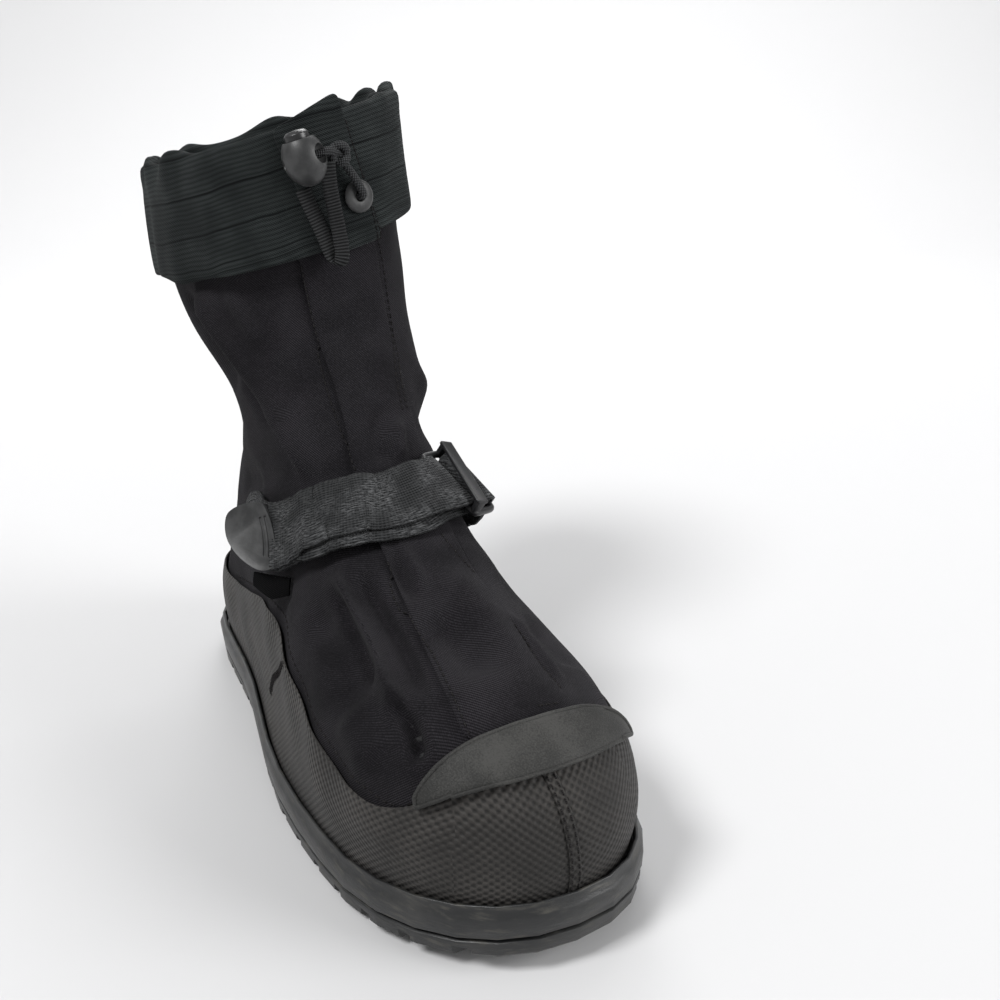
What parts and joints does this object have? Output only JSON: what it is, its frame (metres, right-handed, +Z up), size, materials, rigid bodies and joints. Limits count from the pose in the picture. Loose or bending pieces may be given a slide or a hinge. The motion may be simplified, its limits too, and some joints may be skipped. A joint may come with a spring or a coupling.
{
  "type": "winter overshoe",
  "caption": "Calf-low fabric winter overshoe for the right foot, with a rubber sole, front flap, instep strap and corded cuff",
  "frame": {"origin": "centre of the heel's flat tread pad, on the ground", "axes": "+Z up, the toe points along -Y, the wearer's inner side is +X and the outer side is -X"},
  "size_m": [0.1246, 0.3323, 0.2896],
  "materials": {
    "sole_rubber": "semi-gloss moulded rubber, scuffed at its edges",
    "patch_rubber": "smooth matte rubber skin with a piped rim",
    "upper_cloth": "near-black twill, faintly purple",
    "rand_cloth": "coarse coated basket weave with a low sheen",
    "cuff_knit": "ribbed stretch webbing, green-black",
    "insole_felt": "flat felt",
    "strap_web": "grey webbing with worn pale fibres",
    "cord_elastic": "braided elastic",
    "grey_plastic": "moulded grey plastic",
    "dark_plastic": "moulded dark plastic"
  },
  "bodies": {
    "shoe": {"outsole": "sole_rubber", "midsole": "sole_rubber", "insole": "insole_felt", "upper": "upper_cloth", "rand": "rand_cloth", "toe_patch": "patch_rubber", "front_flap": "upper_cloth", "cuff": "cuff_knit", "cuff_tab": "upper_cloth", "instep_strap": "strap_web", "buckle": "dark_plastic", "buckle_anchor": "strap_web", "pull_tab": "grey_plastic", "label_tab": "dark_plastic", "cord_lock": "grey_plastic", "lace_disc": "grey_plastic", "draw_cord": "cord_elastic", "draw_cord_tail": "cord_elastic", "cord_knot": "cord_elastic", "lock_loop": "cord_elastic", "pull_loop": "strap_web"},
    "lock_button": {"lock_plunger": "dark_plastic"}
  },
  "joints": [
    {"name": "lock_press", "type": "slide", "parent": "shoe", "child": "lock_button", "axis": [0.2394, -0.1338, -0.9617], "range_m": [0, 0.003], "stiffness_N_per_m": 400, "springref_m": -0.001}
  ]
}
